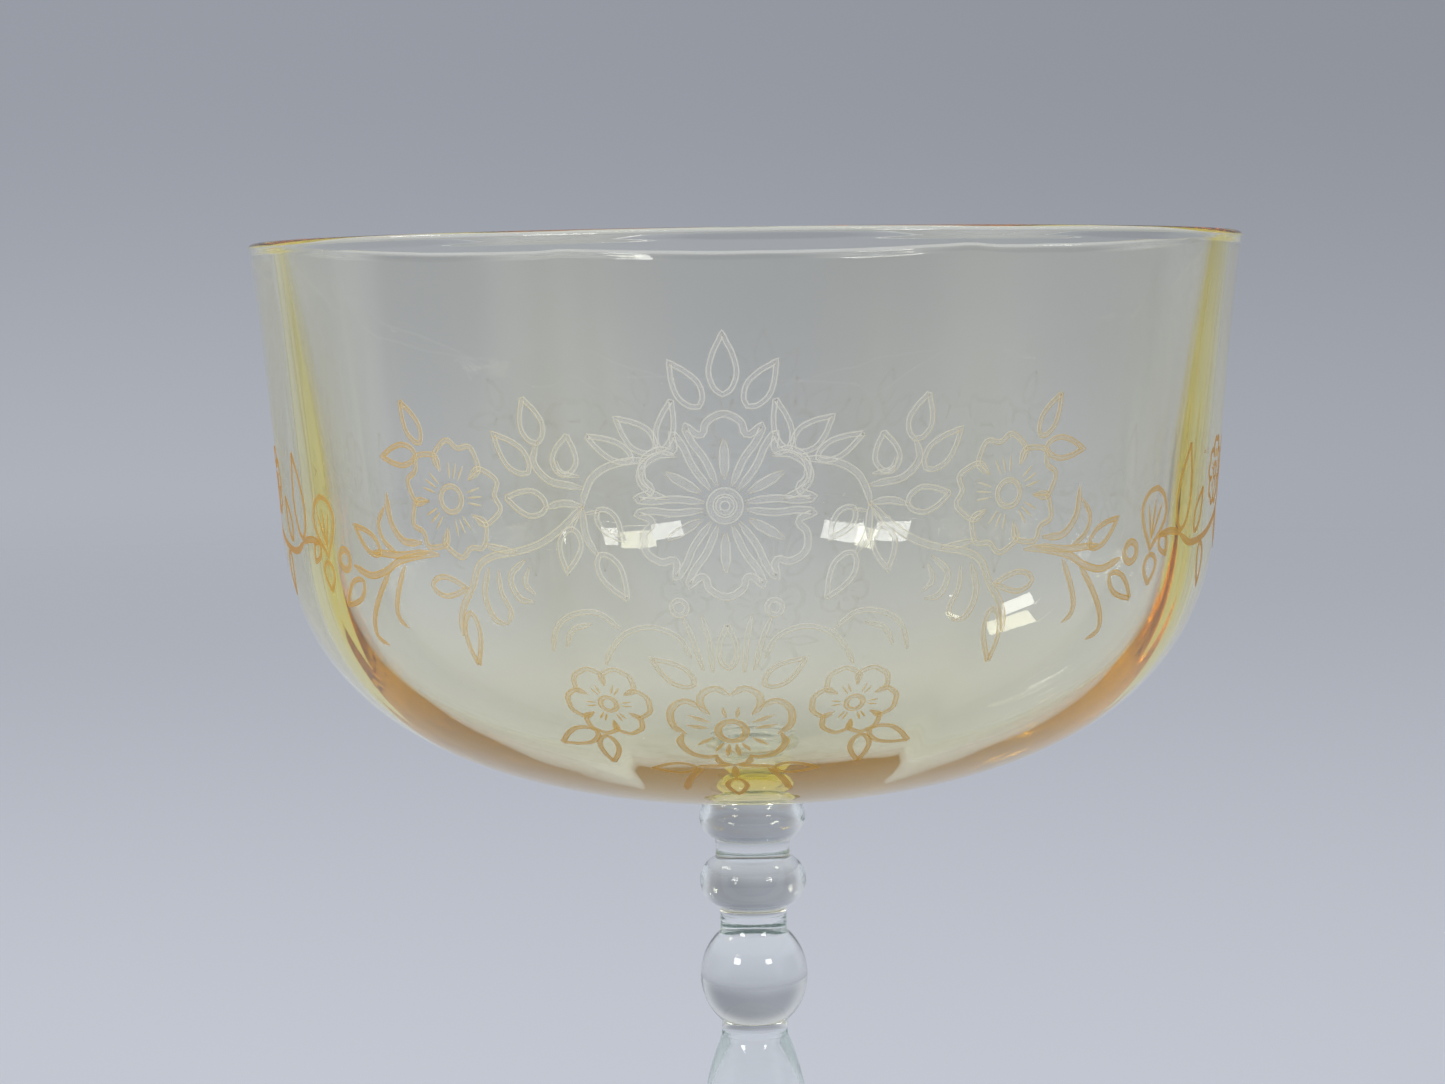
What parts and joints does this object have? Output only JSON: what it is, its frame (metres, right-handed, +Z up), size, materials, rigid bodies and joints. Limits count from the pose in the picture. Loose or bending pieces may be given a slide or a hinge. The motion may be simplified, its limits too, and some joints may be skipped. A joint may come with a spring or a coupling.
{
  "type": "coupe glass",
  "caption": "Stemmed coupe glass: wide open topaz bowl with an etched flower garland, clear collar, ring and ball knops, tapered baluster stem and round foot.",
  "frame": {"origin": "centre of the foot's resting face, on the surface that the glass stands on", "axes": "+Z up along the stem's axis, through the middle of the bowl's mouth; the etched front medallion faces -Y"},
  "size_m": [0.089, 0.089, 0.155],
  "materials": {
    "topaz_glass": "clear pale topaz-yellow blown glass, fire polished, with soft optic panels",
    "crystal_glass": "clear colourless pressed glass, fire polished",
    "etched_frost": "matte plate-etched lines on the outside of the bowl"
  },
  "bodies": {
    "root": {"bowl": "topaz_glass", "collar": "crystal_glass", "ring_knop": "crystal_glass", "ball_knop": "crystal_glass", "baluster": "crystal_glass", "foot": "crystal_glass"}
  },
  "joints": []
}
